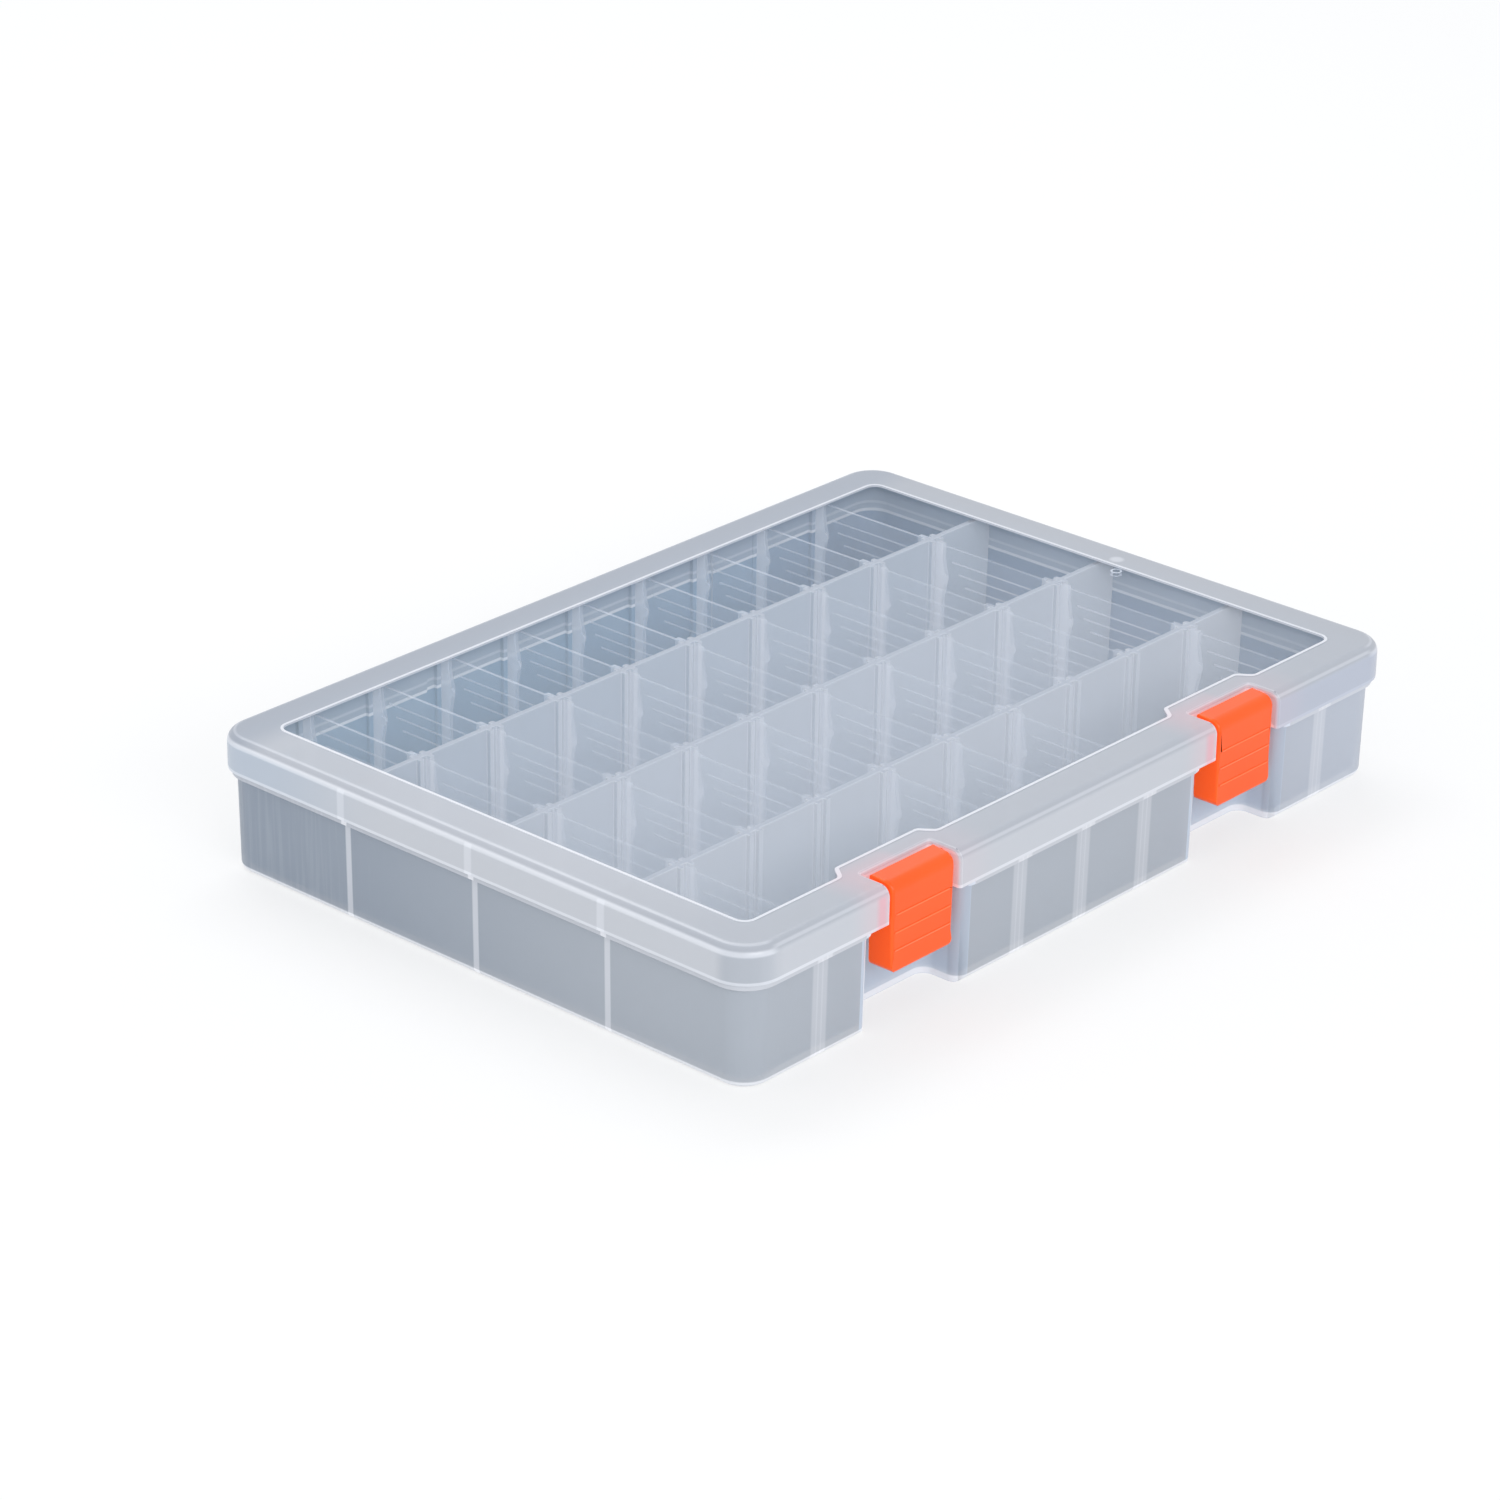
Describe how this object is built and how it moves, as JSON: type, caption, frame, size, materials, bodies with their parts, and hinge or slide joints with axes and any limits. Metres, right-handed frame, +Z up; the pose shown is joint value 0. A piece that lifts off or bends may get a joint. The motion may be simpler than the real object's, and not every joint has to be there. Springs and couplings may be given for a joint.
{
  "type": "compartment storage organizer",
  "caption": "Shallow see-through storage box: hinged skirted lid, front snap latches, and a tray split by long walls and lift-out dividers into small compartments.",
  "frame": {"origin": "centre of the base on the surface that the box stands on, lid shut and latches closed", "axes": "+X along the latched front, -Y out of the latched front, +Z up"},
  "size_m": [0.2516, 0.1802, 0.0381],
  "materials": {
    "tray_plastic": "translucent milky polypropylene, satin",
    "divider_plastic": "translucent milky polypropylene, satin",
    "lid_plastic": "clear polished pane inside a satin rim",
    "latch_plastic": "opaque orange polypropylene, soft gloss"
  },
  "bodies": {
    "tray": {"tray": "tray_plastic", "row_wall_front": "tray_plastic", "row_wall_middle": "tray_plastic", "row_wall_rear": "tray_plastic", "divider_a1": "divider_plastic", "divider_a4": "divider_plastic", "divider_a5": "divider_plastic", "divider_a6": "divider_plastic", "divider_a9": "divider_plastic", "divider_b1": "divider_plastic", "divider_b2": "divider_plastic", "divider_b3": "divider_plastic", "divider_b4": "divider_plastic", "divider_b5": "divider_plastic", "divider_b6": "divider_plastic", "divider_b7": "divider_plastic", "divider_b8": "divider_plastic", "divider_b9": "divider_plastic", "divider_c1": "divider_plastic", "divider_c2": "divider_plastic", "divider_c3": "divider_plastic", "divider_c4": "divider_plastic", "divider_c5": "divider_plastic", "divider_c6": "divider_plastic", "divider_c7": "divider_plastic", "divider_c8": "divider_plastic", "divider_c9": "divider_plastic", "divider_d1": "divider_plastic", "divider_d2": "divider_plastic", "divider_d3": "divider_plastic", "divider_d4": "divider_plastic", "divider_d5": "divider_plastic", "divider_d6": "divider_plastic", "divider_d7": "divider_plastic", "divider_d8": "divider_plastic", "divider_d9": "divider_plastic"},
    "lid": {"lid": "lid_plastic"},
    "latch_left": {"latch_left": "latch_plastic"},
    "latch_right": {"latch_right": "latch_plastic"}
  },
  "joints": [
    {"name": "lid_hinge", "type": "hinge", "parent": "tray", "child": "lid", "pos_m": [0, 0.08849, 0.0266], "axis": [-1, 0, 0], "range_deg": [0, 140]},
    {"name": "latch_left_pivot", "type": "hinge", "parent": "lid", "child": "latch_left", "pos_m": [-0.06323, -0.0839, 0.03575], "axis": [-1, 0, 0], "range_deg": [0, 100]},
    {"name": "latch_right_pivot", "type": "hinge", "parent": "lid", "child": "latch_right", "pos_m": [0.06323, -0.0839, 0.03575], "axis": [-1, 0, 0], "range_deg": [0, 100]}
  ]
}
